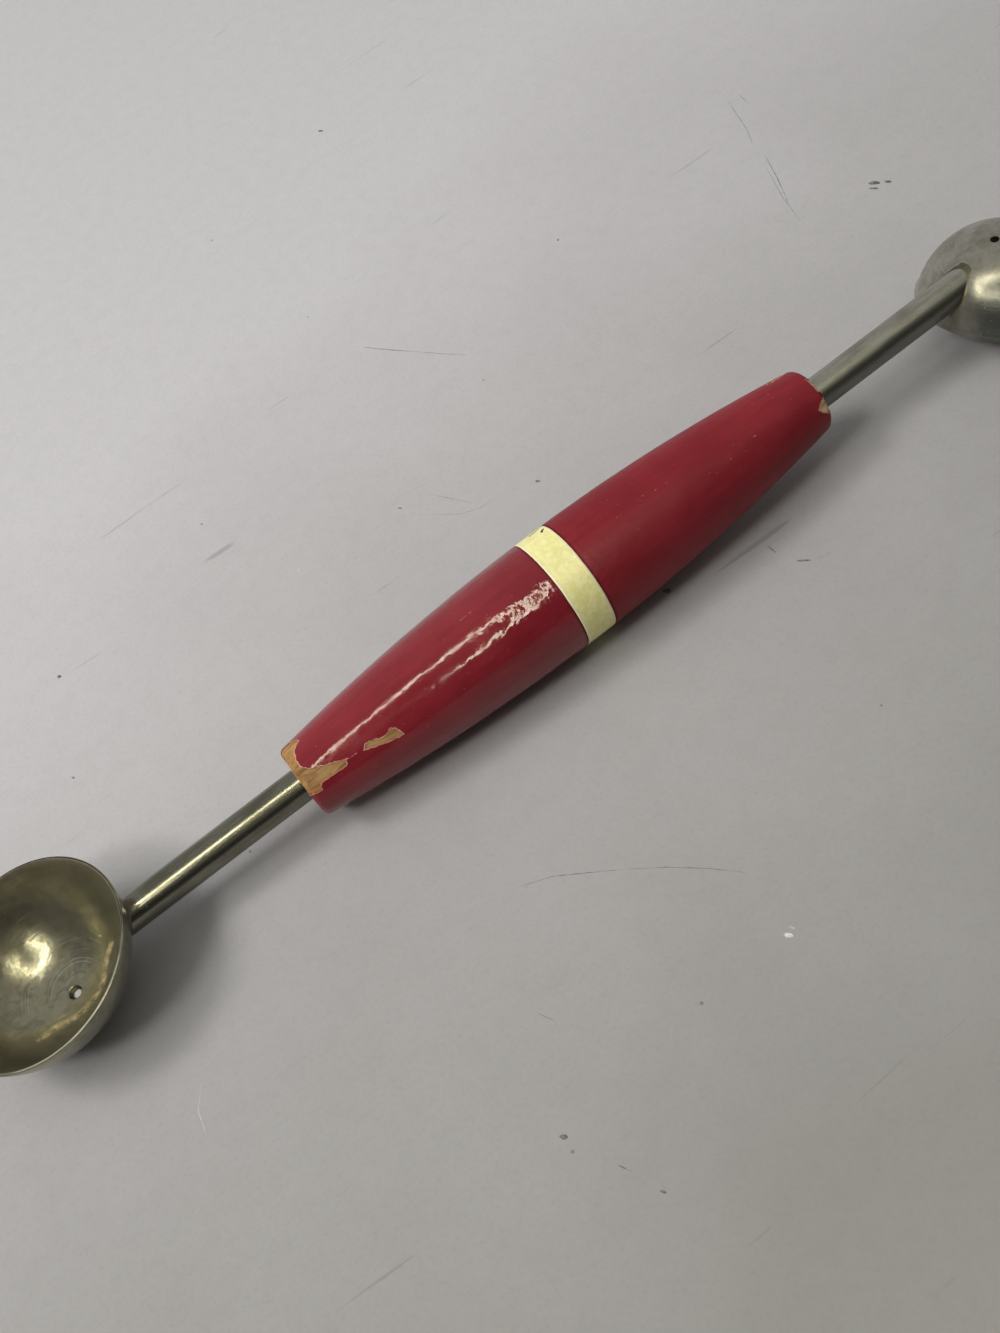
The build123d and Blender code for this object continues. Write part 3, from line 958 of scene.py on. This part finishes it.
def band_piece(tool, finish):
    """The cream ring: a soft-edged coat with brush ridges, laid between the two red halves."""
    handle = tool.handle
    around, across = 420, 26
    bead_height, bead_place, bead_width = 0.032, 0.16, 0.09
    strokes = [point for line in BAND_STROKES for point in in_steps(line, 6)]
    points, soiled, band_rim_highlight = [], [], []
    for turn_step in range(around):
        turn = FULL_TURN * turn_step / around
        spoke = Vector((0, math.sin(turn), math.cos(turn)))
        edges = [handle.band[side] + handle.sway(side, spoke) for side in (-1, 1)]
        degrees = math.degrees(turn)
        for step in range(across + 1):
            x = edges[0] + (edges[1] - edges[0]) * step / across
            arc = handle.arc(-1 if x < 0 else 1)
            out = handle.belly - arc + math.sqrt(arc**2 - x**2)
            rim = min(x - edges[0], edges[1] - x)
            bead = math.exp(-(((rim - bead_place) / bead_width) ** 2)) * bead_height
            drop = handle.cream_drop + 0.05 * fade(0.0, 0.08, rim)
            lump = ripple(Vector((x, 0, 0)) + spoke * out, 1.1, 21.0, 3) * 0.006
            points.append(tool.put(Vector((x, 0, 0)) + spoke * (out - drop + bead + lump)))
            spot = min(
                math.hypot(x - stroke_x, math.radians(degrees - stroke_turn) * out)
                for stroke_x, stroke_turn in strokes
            )
            soiled.append(fade(0.05, 0.30, spot))
            # Where the painted highlight lies along the band's edges.
            band_rim_highlight.append(fade(0.08, 0.24, rim))
        points += [
            tool.put(Vector((x, 0, 0)) + spoke * (handle.belly - handle.film)) for x in reversed(edges)
        ]
        soiled += [0.0, 0.0]
        band_rim_highlight += [0.0, 0.0]
    new_piece(
        "cream_ring", points, flipped(ring_faces(around, across + 3)),
        {"soiled": soiled, "band_rim_highlight": band_rim_highlight}, finish, ["cream_band"],
    )


def bowl_profile(scoop, thickness, lip, rim_land):
    """Outer and inner outline of a bowl from its bottom to its rim: radius and height over the rim
    plane, row by row, with the rim's edge softened."""
    outer = scoop.ball_radius
    inner = outer - thickness
    foot = scoop.height + lip
    rows = []
    for step in range(BALL_ROWS + 1):
        a, b = (math.acos(foot / radius) * (step / BALL_ROWS) for radius in (outer, inner))
        rows.append((
            (outer * math.sin(a), scoop.height - outer * math.cos(a)),
            (inner * math.sin(b), scoop.height - inner * math.cos(b)),
        ))
    outer_foot, inner_foot = rows[-1][0][0], rows[-1][1][0]
    rim_out, rim_in = scoop.rim_radius, scoop.rim_radius - rim_land
    for share, pinch in ((0.35, 0.0), (0.68, 0.0), (0.84, 0.02), (0.94, 0.07), (1.0, 0.16)):
        height = -lip * (1 - share)
        rows.append((
            (outer_foot + (rim_out - outer_foot) * share - pinch, height),
            (inner_foot + (rim_in - inner_foot) * share + pinch, height),
        ))
    return rows


def bowl_piece(tool, scoop, name, node, streak, finish, seed):
    """A drawn bowl: two faces of a closed sheet, a softened vent hole, dents and drawing rings. A painted
    golden reflection runs along a streak of shares and turns on its inside. The rim gets a painted
    highlight on its lit side and painted shade on the rest, and the vent a dark ring of grime and
    painted shade. On the flat sheet a row is one step long."""
    thickness = tool.sheet_settings.thickness / MM
    lip = tool.sheet_settings.lip_height / MM
    rows = bowl_profile(scoop, thickness, lip, tool.sheet_settings.rim_land / MM)
    last_row = len(rows) - 1
    row_step = scoop.ball_radius * math.acos((scoop.height + lip) / scoop.ball_radius) / BALL_ROWS
    across = scoop.outwards.cross(scoop.axis)
    fewest, most, staggered_rows, vent_steps, streak_steps = 12, 240, 60, 56, 8
    vent_edge, vent_rounding, dark_vent_edge, streak_width = 0.14, 0.13, 0.12, 1.0
    dent_depth, small_dent_depth, ring_depth, pressed_in = 0.035, 0.008, 0.0012, 0.01
    lit_turn = math.radians(-100.0)

    # The vent hole runs upright through the bowl, so it meets the leaning ball beside its bottom.
    drop = scoop.vent - scoop.ball_centre
    reach = math.sqrt(scoop.ball_radius**2 - drop.length_squared)
    touch = drop + Vector((0, 0, -scoop.opening * reach))
    hole_point = scoop.ball_centre + touch.normalized() * scoop.ball_radius
    lean = math.acos(max(-1.0, min(1.0, -touch.normalized().dot(scoop.axis))))
    vent_row = math.copysign(scoop.ball_radius * lean / row_step, touch.dot(scoop.outwards))
    vent = tool.sheet_settings.vent_diameter / MM / 2 / row_step

    grid = [(0.0, 0.0)]
    for row in range(1, last_row + 1):
        count = min(most, max(fewest, 8 * row))
        stagger = 0.5 * (row % 2) * (row < staggered_rows)
        for column in range(count):
            turn = FULL_TURN * (column + stagger) / count
            grid.append((row * math.cos(turn), row * math.sin(turn)))
    clear = vent + 0.62 / row_step
    grid = [(x, y) for x, y in grid if math.hypot(x - vent_row, y) > clear]
    turns = [FULL_TURN * step / vent_steps for step in range(vent_steps)]
    rings = []
    for gap in (0.0, 0.05, 0.13, 0.28, 0.5):
        radius = vent + gap / row_step
        rings.append([(vent_row + radius * math.cos(turn), radius * math.sin(turn)) for turn in turns])
    grid += [point for ring in rings[1:] for point in ring]
    points, faces = used_only(*cut_sheet(grid, rings[:1], 0.0001))
    if scoop.opening * scoop.side > 0:
        faces = flipped(faces)
    streak_gap = gap_to(in_steps([
        (last_row * share * math.cos(math.radians(turn)), last_row * share * math.sin(math.radians(turn)))
        for share, turn in streak
    ], streak_steps))

    outer, inner, height_share, edge, grime_and_shade, painted_reflection = [], [], [], [], [], []
    for point in points:
        row = math.hypot(point.x, point.y)
        turn = math.atan2(point.y, point.x)
        index = min(last_row - 1, int(row))
        part = min(1.0, row - index)
        ways = scoop.outwards * math.cos(turn) + across * math.sin(turn)
        pair = []
        for (radius, height), (next_radius, next_height) in zip(rows[index], rows[index + 1]):
            radius += (next_radius - radius) * part
            height += (next_height - height) * part
            pair.append(scoop.rim_centre + ways * radius + scoop.axis * height)
        skin, lining = pair
        towards = (lining - skin).normalized()
        dent = ripple(skin, 7.0, seed, 3) * dent_depth + ripple(skin, 2.6, seed + 4.0, 2) * small_dent_depth
        dent += math.sin(row * 1.9 + 0.8 * ripple(skin, 5.0, seed + 9.0)) * ring_depth + pressed_in
        push = towards * dent * fade(last_row - 14, last_row - 5, row)
        gap = (math.hypot(point.x - vent_row, point.y) - vent) * row_step
        soft = max(0.0, vent_edge - gap) / vent_edge
        round_off = towards * (vent_rounding * soft * soft)
        squeeze = (hole_point - skin) * 0.35 * soft
        outer.append(tool.put(skin + push + round_off - towards * scoop.built_up(skin) + squeeze))
        inner.append(tool.put(lining + push - round_off))
        rim = smooth_step(last_row - 1.3, last_row - 0.1, row)
        # Painted highlight: the rim is painted bright only on its lit side.
        lit_side = smooth_step(0.45, 0.85, math.cos(turn - lit_turn))
        height_share.append(row / last_row)
        edge.append(rim * lit_side)
        # Dark ring at the vent, partly grime and partly painted shade; painted shade under the rim away
        # from its lit side.
        grime_and_shade.append(max(0.6 * fade(0.0, dark_vent_edge, gap), 0.78 * rim * (1 - lit_side)))
        painted_reflection.append(fade(0.15, streak_width, streak_gap(point.x, point.y) * row_step))
    count = len(outer)
    values = {
        "height_share": height_share * 2, "edge": edge * 2, "grime_and_shade": grime_and_shade * 2,
        "inside": [0.0] * count + [1.0] * count, "painted_reflection": [0.0] * count + painted_reflection,
    }
    new_piece(name, outer + inner, close_shell(count, faces), values, finish, [node])


def bead_piece(tool, scoop, name, node, finish, seed):
    """The brazed bead in the corner between shank and bowl, uneven and slightly hollow."""
    around, across = 132, 9
    hollow, lump, sunk, root = 0.30, 0.03, 0.05, 0.2
    back = Vector((-scoop.side, 0, 0))
    points = []

    def on_ball(out, turn, lift):
        """The point of the ball's skin at this distance and turn from the shank's axis."""
        y, z = out * math.cos(turn), out * math.sin(turn)
        radius = scoop.ball_radius + lift + 0.8 * scoop.swell
        reach = math.sqrt(max(0.0, radius**2 - y * y - (z - scoop.ball_centre.z) ** 2))
        return Vector((scoop.ball_centre.x - scoop.side * reach, y, z))

    for step in range(around):
        turn = FULL_TURN * step / around
        here = Vector((math.cos(turn), math.sin(turn), 0))
        spoke = Vector((0, math.cos(turn), math.sin(turn)))
        wide = scoop.bead * (0.92 + 0.20 * ripple(here, 0.6, seed, 3))
        long = scoop.bead * (0.92 + 0.24 * ripple(here, 0.5, seed + 2.0, 3))
        corner = on_ball(tool.shank_radius, turn, 0.0)
        start = corner + back * long - spoke * 0.06
        end = on_ball(tool.shank_radius + wide, turn, -sunk)
        knee = corner + (start - corner) * hollow + (end - corner) * hollow + spoke * sunk
        for place_step in range(across):
            share = place_step / (across - 1)
            point = start * (1 - share) ** 2 + knee * 2 * share * (1 - share) + end * share**2
            swell = ripple(point, 0.7, seed + 6.0, 3) * lump * 4 * share * (1 - share)
            points.append(tool.put(point + (spoke + back) * swell))
        points.append(tool.put(on_ball(tool.shank_radius - root, turn, -root)))
    faces = ring_faces(around, across + 1)
    if scoop.side > 0:
        faces = flipped(faces)
    new_piece(name, points, faces, {}, finish, [node])


def dress(node, finish):
    """Give a solid of the frame its finish."""
    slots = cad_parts[node].data.materials
    slots.clear()
    slots.append(finish)


class MELON_OT_enamel(Operator):
    """Lay the chipped red enamel on both halves and the cream ring between them"""

    bl_idname = "melon.enamel"
    bl_label = "Enamel"

    def execute(self, context):
        tool = Tool(context.scene)
        settings = tool.handle_settings
        glossy = red_enamel(settings, "glossy_red_enamel", gloss=0.07, grit=0.8, shine=0.42)
        dulled = red_enamel(settings, "dulled_red_enamel", gloss=0.40, grit=1.0, shine=0.16)
        large_ridges = [in_steps(line, 12) for line in (CRACK, *LARGE_END_NICKS)]
        small_ridges = [in_steps(line, 12) for line in SMALL_END_NICKS]
        small_chips = [RIM_CHIP, RIM_WEAR, FLAKE]
        film_piece(tool, -1, "red_paint_large_end", [END_CHIP, SIDE_CHIP], large_ridges, glossy, seed=11.0)
        film_piece(tool, 1, "red_paint_small_end", small_chips, small_ridges, dulled, seed=37.0)
        band_piece(tool, cream_enamel(settings))
        return {"FINISHED"}


class MELON_OT_wood(Operator):
    """Give the handle's core its wood, with torn fibres where the enamel broke away"""

    bl_idname = "melon.wood"
    bl_label = "Bare Wood"

    def execute(self, context):
        tool = Tool(context.scene)
        settings = tool.handle_settings
        finish = bare_wood(settings, "bare_hardwood", settings.wood, settings.wood_pale)
        # Painted light: the small end's bared wood gets a paler copy of the wood.
        lit_rim_finish = bare_wood(settings, "bare_rim_wood", settings.lit_rim_wood, settings.lit_rim_wood)
        dress("wooden_handle", finish)
        for name, side, reach, turns, seed in TORN_WOOD:
            wood_patch(tool, side, name, reach, turns, seed, finish if side < 0 else lit_rim_finish)
        return {"FINISHED"}


class MELON_OT_shanks(Operator):
    """Give both shanks their drawn steel"""

    bl_idname = "melon.shanks"
    bl_label = "Shanks"

    def execute(self, context):
        settings = context.scene.shank_settings
        dress("large_shank", drawn_steel(
            settings, "large_shank_steel", settings.large_steel, settings.large_dark,
            settings.large_flank_shade, polish=0.19,
        ))
        dress("small_shank", drawn_steel(
            settings, "small_shank_steel", settings.small_steel, settings.small_dark,
            settings.small_flank_shade, polish=0.30,
        ))
        return {"FINISHED"}


class MELON_OT_scoops(Operator):
    """Make the two drawn bowls with their vent holes"""

    bl_idname = "melon.scoops"
    bl_label = "Scoops"

    def execute(self, context):
        tool = Tool(context.scene)
        settings = tool.sheet_settings
        large, small = context.scene.large_scoop_settings, context.scene.small_scoop_settings
        large_metal = scoop_metal(settings, large, "large_bowl_metal", polish=0.195)
        small_metal = scoop_metal(settings, small, "small_bowl_metal", polish=0.26)
        bowl_piece(tool, tool.large, "large_bowl", "large_scoop", PAINTED_REFLECTION_STREAK, large_metal, seed=2.0)
        bowl_piece(tool, tool.small, "small_bowl", "small_scoop", [], small_metal, seed=6.0)
        return {"FINISHED"}


class MELON_OT_braze(Operator):
    """Run the brazed beads that join shanks and bowls"""

    bl_idname = "melon.braze"
    bl_label = "Brazed Beads"

    def execute(self, context):
        tool = Tool(context.scene)
        finish = braze_metal(tool.shank_settings)
        bead_piece(tool, tool.large, "large_bead", "large_braze", finish, seed=4.0)
        bead_piece(tool, tool.small, "small_bead", "small_braze", finish, seed=9.0)
        return {"FINISHED"}


class MELON_OT_stage(Operator):
    """Set the pale table, the lights and the camera"""

    bl_idname = "melon.stage"
    bl_label = "Stage"

    def execute(self, context):
        settings = context.scene.stage_settings
        half = settings.table_size / 2
        self.flat_sheet(context, "table", (-half, half, -half, half), table_top(settings))
        self.scatter_marks(context, settings)
        self.hang_lights(context, settings)
        self.fill_room(context, settings)
        self.stand_camera(context, settings)
        context.scene.view_settings.view_transform = "Standard"
        return {"FINISHED"}

    def stage_piece(self, context, name, points, faces, finish):
        """A piece that belongs to the stage and not to the tool."""
        mesh = bpy.data.meshes.new(name)
        mesh.from_pydata([tuple(point) for point in points], [], faces)
        mesh.materials.append(finish)
        piece = bpy.data.objects.new(name, mesh)
        context.scene.collection.objects.link(piece)
        return piece

    def flat_sheet(self, context, name, sides, finish):
        """A flat rectangle between its left, right, near and far sides."""
        left, right, near, far = sides
        corners = [(left, near, 0), (right, near, 0), (right, far, 0), (left, far, 0)]
        return self.stage_piece(context, name, corners, [(0, 1, 2, 3)], finish)

    def scatter_marks(self, context, settings):
        """Thin ribbons just above the table for its marks, wide in their middles."""
        points, faces, cover, pale = [], [], [], []
        height, line_steps, broad = 0.01, 6, 0.3
        marks = [(0.0, *mark) for mark in TABLE_MARKS] + [(1.0, *mark) for mark in PALE_MARKS]
        for whiteness, width, line in marks:
            path = in_steps(line, line_steps)
            for index, (x, y) in enumerate(path):
                ahead = path[min(index + 1, len(path) - 1)]
                behind = path[max(index - 1, 0)]
                run = Vector((ahead[0] - behind[0], ahead[1] - behind[1]))
                across = Vector((-run.y, run.x)).normalized()
                share = index / (len(path) - 1)
                swell = ripple(Vector((x, y, width)), 0.7, 3.0)
                half = width / 2 * math.sqrt(max(0.05, 4 * share * (1 - share))) * (1 + 0.5 * swell)
                if index:
                    first = len(points)
                    faces.append((first - 2, first - 1, first + 1, first))
                for side in (-half, half):
                    points.append(Vector((x + across.x * side, y + across.y * side, height)) * MM)
                    cover.append(0.95 if width > broad else 0.6)
                    pale.append(whiteness)
        ribbons = self.stage_piece(context, "table_marks", points, faces, mark_finish(settings))
        add_values(ribbons.data, {"cover": cover, "pale": pale})

    def area_light(self, context, name, place, size, glow, tint):
        """A flat light of this radiance that faces the tool's middle and that the camera doesn't see."""
        light = bpy.data.lights.new(name, "AREA")
        light.shape = "RECTANGLE"
        light.size, light.size_y = size
        light.energy = glow * math.pi * size[0] * size[1]
        light.color = tint
        lamp = bpy.data.objects.new(name, light)
        facing = Vector(place).normalized()
        level = Vector((0, 0, 1)).cross(facing).normalized()
        turn = Matrix((level, facing.cross(level), facing)).transposed().to_4x4()
        lamp.matrix_world = Matrix.Translation(place) @ turn
        lamp.visible_camera = False
        context.scene.collection.objects.link(lamp)
        return lamp

    def hang_lights(self, context, settings):
        """A ring of warm strips that only the shine shows, and soft lights that it doesn't."""
        warm, daylight = (1.0, 0.96, 0.74), (1.0, 0.99, 0.97)
        strips, strip_size = 18, (0.056, 0.040)
        middle = Vector(settings.lamp_place)
        for index in range(strips):
            lamp = self.area_light(
                context, f"ring_lamp_{index}", middle, strip_size, settings.lamp_glow, warm
            )
            turn = Matrix.Rotation(FULL_TURN * index / strips, 4, "Z")
            lamp.matrix_world = lamp.matrix_world @ turn @ Matrix.Translation((0, settings.lamp_radius, 0))
            lamp.visible_diffuse = False
        for name, place, width, glow in (
            ("key", (-0.78, -0.30, 1.00), 0.24, settings.key_glow),
            ("middle_key", (-0.78, -0.04, 1.00), 0.26, settings.middle_glow),
            ("far_key", (-0.70, 0.27, 1.01), 0.34, settings.far_glow),
            ("window", (-0.60, 0.10, 1.02), 1.0, settings.window_glow),
            ("ceiling", (0.10, 0.30, 1.20), 1.4, settings.ceiling_glow),
        ):
            light = self.area_light(context, name, place, (width, width), glow, daylight)
            light.visible_glossy = False

    def fill_room(self, context, settings):
        """A grey room, darker on the near side and paler on the far side and above."""
        world = bpy.data.worlds.new("room")
        world.use_nodes = True
        make = Nodes(world.node_tree)
        where = make.node("ShaderNodeTexCoord", {}, "Generated")
        shifted = make.plus(make.how_far(where, (0.15, 0.425, 0.215)), 0.5)
        tones = make.node("ShaderNodeValToRGB", {0: shifted}, "Color")
        stops = tones.node.color_ramp.elements
        stops[0].position, stops[0].color = 0.2, (0.06, 0.06, 0.06, 1)
        stops[1].position, stops[1].color = 1.0, (0.48, 0.48, 0.47, 1)
        for spot, tone in ((0.43, 0.10), (0.55, 0.23), (0.7, 0.37)):
            stops.new(spot).color = (tone, tone, tone * 0.98, 1)
        background = world.node_tree.nodes["Background"].inputs
        make.feed(background["Color"], tones)
        make.feed(background["Strength"], settings.room_glow)
        context.scene.world = world

    def stand_camera(self, context, settings):
        place = Vector(settings.camera_place)
        sight = (Vector(settings.camera_aim) - place).normalized()
        level = sight.cross(Vector((0, 0, 1))).normalized()
        rise = level.cross(sight)
        up = rise * math.cos(settings.camera_roll) + level * math.sin(settings.camera_roll)
        data = bpy.data.cameras.new("camera")
        data.sensor_fit = "VERTICAL"
        data.sensor_height = 36.0
        data.lens = settings.lens
        data.clip_start = 0.01
        data.clip_end = 20.0
        camera = bpy.data.objects.new("camera", data)
        turn = Matrix((sight.cross(up), up, -sight)).transposed().to_4x4()
        camera.matrix_world = Matrix.Translation(place) @ turn
        context.scene.collection.objects.link(camera)
        context.scene.camera = camera
        self.hold_card(context, settings, camera)

    def hold_card(self, context, settings, camera):
        """A dark card beside the lens, which the camera doesn't see but the bright metal mirrors."""
        finish = Finish("dark_card").finish(Base_Color=settings.card, Roughness=0.6)
        sides = (-64 * MM, 12 * MM, -135 * MM, 12 * MM)
        card = self.flat_sheet(context, "dark_card", sides, finish)
        card.matrix_world = camera.matrix_world @ Matrix.Translation((0, 0, 2 * MM))
        card.visible_camera = card.visible_shadow = card.visible_diffuse = False


class MELON_PT_sidebar(Panel):
    """The melon baller's pieces, one button each"""

    bl_idname = "MELON_PT_sidebar"
    bl_label = "Melon Baller"
    bl_space_type = "VIEW_3D"
    bl_region_type = "UI"
    bl_category = "Melon Baller"

    def draw(self, context):
        for operator in OPERATORS:
            self.layout.operator(operator.bl_idname)
        for name in SETTINGS:
            box = self.layout.box()
            box.label(text=name.replace("_", " ").title())
            group = getattr(context.scene, name)
            for key in group.__annotations__:
                box.prop(group, key)


OPERATORS = (
    MELON_OT_enamel, MELON_OT_wood, MELON_OT_shanks, MELON_OT_scoops, MELON_OT_braze, MELON_OT_stage,
)
SETTINGS = {
    "handle_settings": HandleSettings,
    "shank_settings": ShankSettings,
    "large_scoop_settings": LargeScoopSettings,
    "small_scoop_settings": SmallScoopSettings,
    "sheet_settings": SheetSettings,
    "stage_settings": StageSettings,
}
CLASSES = (*SETTINGS.values(), *OPERATORS, MELON_PT_sidebar)


def register():
    for each in CLASSES:
        bpy.utils.register_class(each)
    for name, group in SETTINGS.items():
        setattr(bpy.types.Scene, name, PointerProperty(type=group))


def unregister():
    for name in SETTINGS:
        delattr(bpy.types.Scene, name)
    for each in reversed(CLASSES):
        bpy.utils.unregister_class(each)


def main():
    register()
    bpy.ops.melon.enamel()
    bpy.ops.melon.wood()
    bpy.ops.melon.shanks()
    bpy.ops.melon.scoops()
    bpy.ops.melon.braze()
    bpy.ops.melon.stage()


if __name__ == "__main__":
    main()
